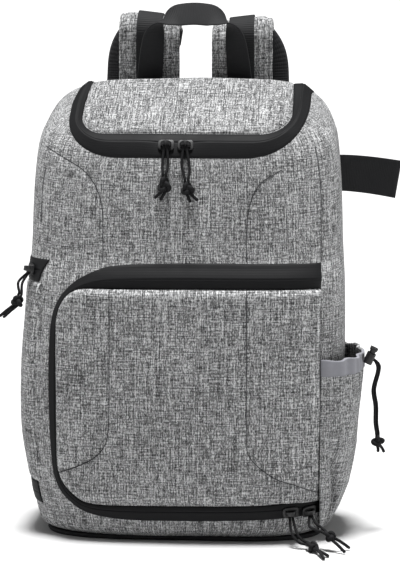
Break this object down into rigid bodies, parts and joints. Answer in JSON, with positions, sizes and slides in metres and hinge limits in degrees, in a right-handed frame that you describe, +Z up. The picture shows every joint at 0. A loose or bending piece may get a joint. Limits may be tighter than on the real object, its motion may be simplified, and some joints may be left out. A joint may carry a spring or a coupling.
{
  "type": "camera backpack",
  "caption": "Grey padded camera backpack with a sloping zipped lid, a zipped lower flap, a gathered side pocket with a cord lock, a webbing grab handle and shoulder straps.",
  "frame": {"origin": "middle of the base, on the surface that the bag stands on", "axes": "+Z up, +X to the right of someone who looks at the bag's front, +Y towards the wearer's side with the shoulder straps, so that the lid and the lower flap face -Y"},
  "size_m": [0.3797, 0.2654, 0.5036],
  "materials": {
    "melange_cloth": "matte woven melange, light grey",
    "hem_cloth": "plain matte cloth, bluish grey",
    "base_cloth": "matte coated cloth, black",
    "padded_mesh": "padded mesh, black",
    "coated_zip": "satin coated tape, near black",
    "webbing": "ribbed woven webbing, black",
    "trim_plastic": "satin, black",
    "lock_plastic": "fine-grained satin, black",
    "pull_cord": "braided cord, black"
  },
  "bodies": {
    "pack": {"main_shell": "melange_cloth", "lid": "melange_cloth", "front_panel": "melange_cloth", "side_door": "melange_cloth", "side_pocket": "melange_cloth", "strap_pad_left": "melange_cloth", "strap_pad_right": "melange_cloth", "pocket_hem": "hem_cloth", "base_panel": "base_cloth", "back_panel": "padded_mesh", "lid_zip": "coated_zip", "front_zip": "coated_zip", "side_zip": "coated_zip", "side_tab": "webbing", "carry_handle": "webbing", "strap_webbing_left": "webbing", "strap_lower_left": "webbing", "strap_anchor_left": "webbing", "strap_webbing_right": "webbing", "strap_lower_right": "webbing", "strap_anchor_right": "webbing", "strap_ladder_left": "trim_plastic", "strap_ladder_right": "trim_plastic", "lid_slider_left": "trim_plastic", "lid_slider_right": "trim_plastic", "side_slider": "trim_plastic", "front_slider_a": "trim_plastic", "front_slider_b": "trim_plastic", "cord_lock_barrel": "lock_plastic", "lid_pull_left_1": "pull_cord", "lid_pull_left_2": "pull_cord", "lid_pull_left_knot": "pull_cord", "lid_pull_right_1": "pull_cord", "lid_pull_right_2": "pull_cord", "lid_pull_right_knot": "pull_cord", "side_pull_1": "pull_cord", "side_pull_2": "pull_cord", "side_pull_knot": "pull_cord", "front_pull_a_1": "pull_cord", "front_pull_a_2": "pull_cord", "front_pull_a_knot": "pull_cord", "front_pull_b_1": "pull_cord", "front_pull_b_2": "pull_cord", "front_pull_b_knot": "pull_cord", "pocket_cord_1": "pull_cord", "pocket_cord_2": "pull_cord", "pocket_cord_knot": "pull_cord"},
    "lock_button": {"cord_lock_button": "lock_plastic"}
  },
  "joints": [
    {"name": "lock_button_press", "type": "slide", "parent": "pack", "child": "lock_button", "axis": [0.4226, 0, 0.9063], "range_m": [-0.003, 0], "stiffness_N_per_m": 300}
  ]
}
